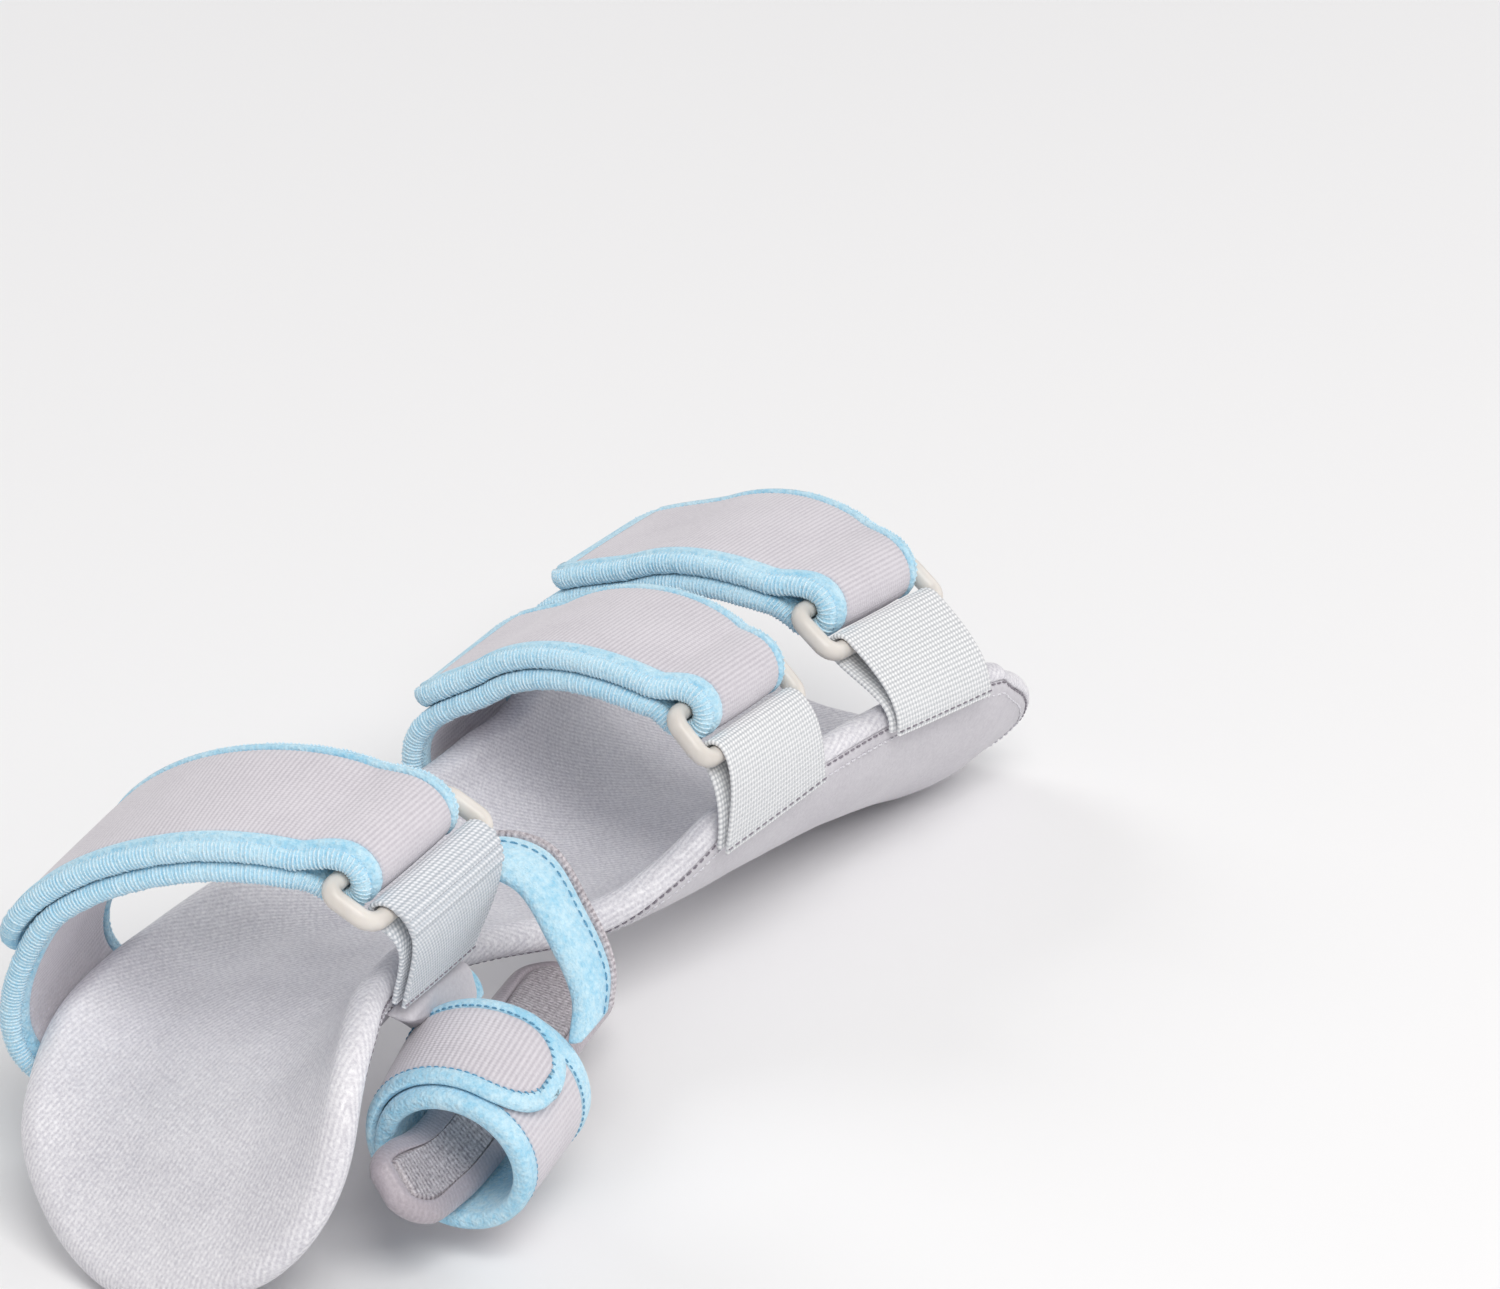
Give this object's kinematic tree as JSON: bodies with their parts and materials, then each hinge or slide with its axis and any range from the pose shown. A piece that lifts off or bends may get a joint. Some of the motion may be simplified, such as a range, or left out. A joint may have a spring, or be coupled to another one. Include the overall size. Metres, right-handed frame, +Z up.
{
  "type": "resting hand splint",
  "caption": "Padded resting hand splint: forearm trough, finger pan and thumb tongue, with ring-and-webbing straps and a thumb sleeve.",
  "frame": {"origin": "bottom centre of the splint as it rests on its heel and the tip of its finger pan", "axes": "+X from the fingertips to the elbow, -Y towards the thumb, +Z up; right hand, palm down"},
  "size_m": [0.336, 0.1454, 0.1119],
  "materials": {
    "cover": "smooth laminated cloth",
    "satin": "pearly satin",
    "thumb_satin": "ribbed satin",
    "terry": "brushed terry",
    "knit": "fine ribbed knit",
    "webbing": "silvery woven webbing",
    "plastic": "moulded, low gloss"
  },
  "bodies": {
    "root": {"outer_cover": "cover", "inner_lining": "satin", "thumb_cover": "cover", "thumb_lining": "thumb_satin", "thumb_cuff": "terry", "cuff_face": "knit", "cuff_tab": "terry", "cuff_tab_face": "knit", "web_flap": "terry", "web_flap_lining": "satin", "forearm_strap": "terry", "forearm_strap_face": "knit", "forearm_ring": "plastic", "forearm_webbing": "webbing", "wrist_strap": "terry", "wrist_strap_face": "knit", "wrist_ring": "plastic", "wrist_webbing": "webbing", "hand_strap": "terry", "hand_strap_face": "knit", "hand_ring": "plastic", "hand_webbing": "webbing"}
  },
  "joints": []
}
